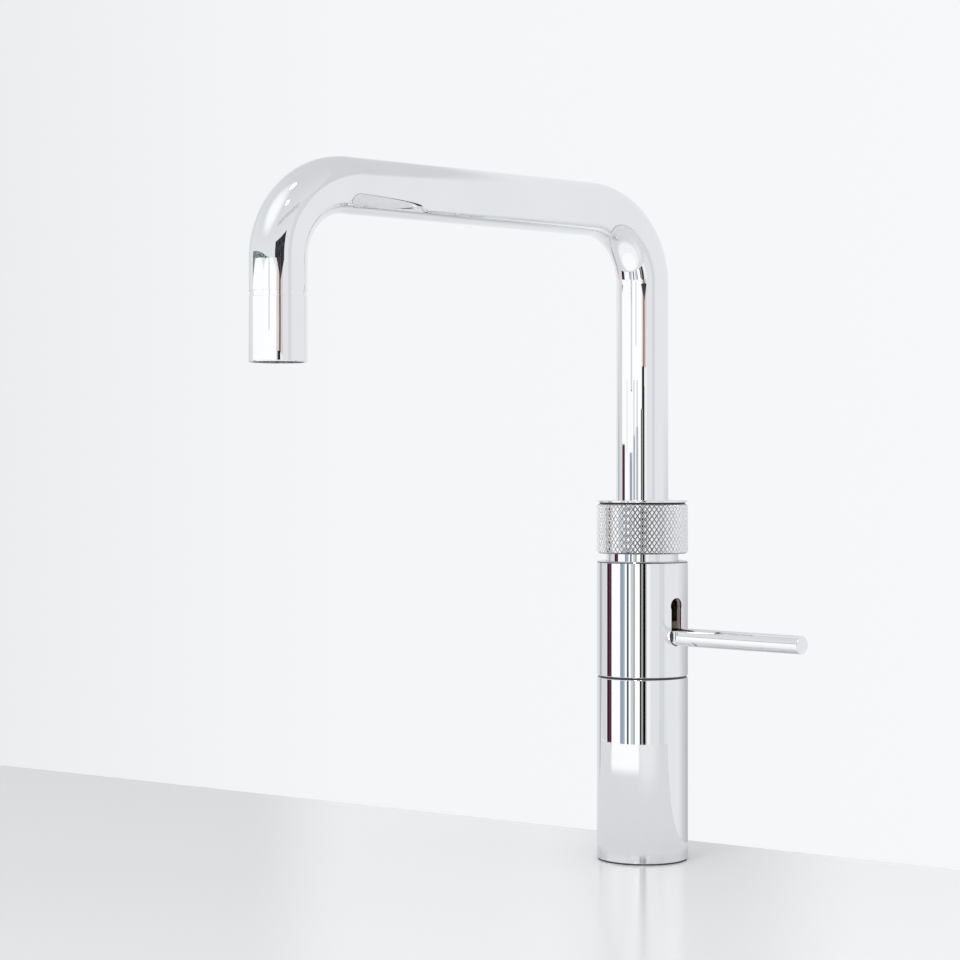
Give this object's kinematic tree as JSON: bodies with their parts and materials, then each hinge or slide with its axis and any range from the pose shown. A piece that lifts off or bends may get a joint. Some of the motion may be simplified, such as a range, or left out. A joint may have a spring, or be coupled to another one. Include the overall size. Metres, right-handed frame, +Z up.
{
  "type": "boiling water tap",
  "caption": "Deck-mounted boiling water tap with a square swivel spout, a turning mixer sleeve with a lifting lever in a keyhole slot, and a knurled push-and-turn ring.",
  "frame": {"origin": "centre of the tap's base on the worktop's top face", "axes": "+Z up along the body, the spout reaches to -Y, and the lever points to +X, standing 6 degrees back from it at rest"},
  "size_m": [0.1089, 0.218, 0.359],
  "materials": {
    "chrome": "polished chrome plate on brass",
    "brass": "bare machined brass",
    "copper": null,
    "steel": "machined stainless steel",
    "rubber": "black rubber",
    "polymer": "dark bearing plastic",
    "ceramic": "lapped white ceramic"
  },
  "bodies": {
    "tap_base": {"lower_body": "chrome", "base_gasket": "rubber", "mounting_shank": "brass", "deck_washer": "rubber", "clamp_washer": "steel", "mounting_nut": "brass", "cold_pipe": "copper", "hot_pipe": "copper", "boiling_pipe": "copper", "cartridge_block": "brass", "ceramic_seat": "ceramic", "seam_bearing": "polymer", "riser_column": "brass", "head_socket": "brass", "column_head": "brass", "upper_o_ring": "rubber", "lower_o_ring": "rubber"},
    "sleeve": {"mixer_sleeve": "chrome", "lever_carrier": "steel"},
    "lever": {"lever_rod": "chrome", "lever_hub": "steel", "front_pivot_pin": "steel", "rear_pivot_pin": "steel"},
    "flow_control": {"flow_disc": "ceramic"},
    "boiling_drive": {"drive_sleeve": "chrome", "ring_stop": "steel", "valve_rotor": "ceramic"},
    "ring": {"ring_core": "steel", "knurled_grip": "chrome", "ring_cap": "chrome", "return_spring": "steel"},
    "spout": {"spout_tube": "chrome", "spout_collar": "brass", "inner_tube": "copper", "joint_nipple": "steel", "outlet_sleeve": "chrome", "aerator": "polymer", "boiling_nozzle": "steel"}
  },
  "joints": [
    {"name": "mixer_turn", "type": "hinge", "parent": "tap_base", "child": "sleeve", "pos_m": [0, 0, 0.1], "axis": [0, 0, 1], "range_deg": [-51, 39]},
    {"name": "lever_lift", "type": "hinge", "parent": "sleeve", "child": "lever", "pos_m": [0, 0, 0.0948], "axis": [0.1045, -0.9945, 0], "range_deg": [0, 28]},
    {"name": "flow_slide", "type": "slide", "parent": "sleeve", "child": "flow_control", "axis": [0.9945, 0.1045, 0], "range_m": [0, 0.00526]},
    {"name": "boiling_turn", "type": "hinge", "parent": "tap_base", "child": "boiling_drive", "pos_m": [0, 0, 0.13], "axis": [0, 0, 1], "range_deg": [0, 90]},
    {"name": "ring_push", "type": "slide", "parent": "boiling_drive", "child": "ring", "axis": [0, 0, -1], "range_m": [0, 0.0028], "stiffness_N_per_m": 2000, "springref_m": -0.002, "deforming": ["return_spring"]},
    {"name": "spout_swivel", "type": "hinge", "parent": "tap_base", "child": "spout", "pos_m": [0, 0, 0.13], "axis": [0, 0, 1], "range_deg": [-180, 180]}
  ],
  "couplings": [
    {"joint": "flow_slide", "follows": "lever_lift", "m_per_rad": 0.010759}
  ]
}
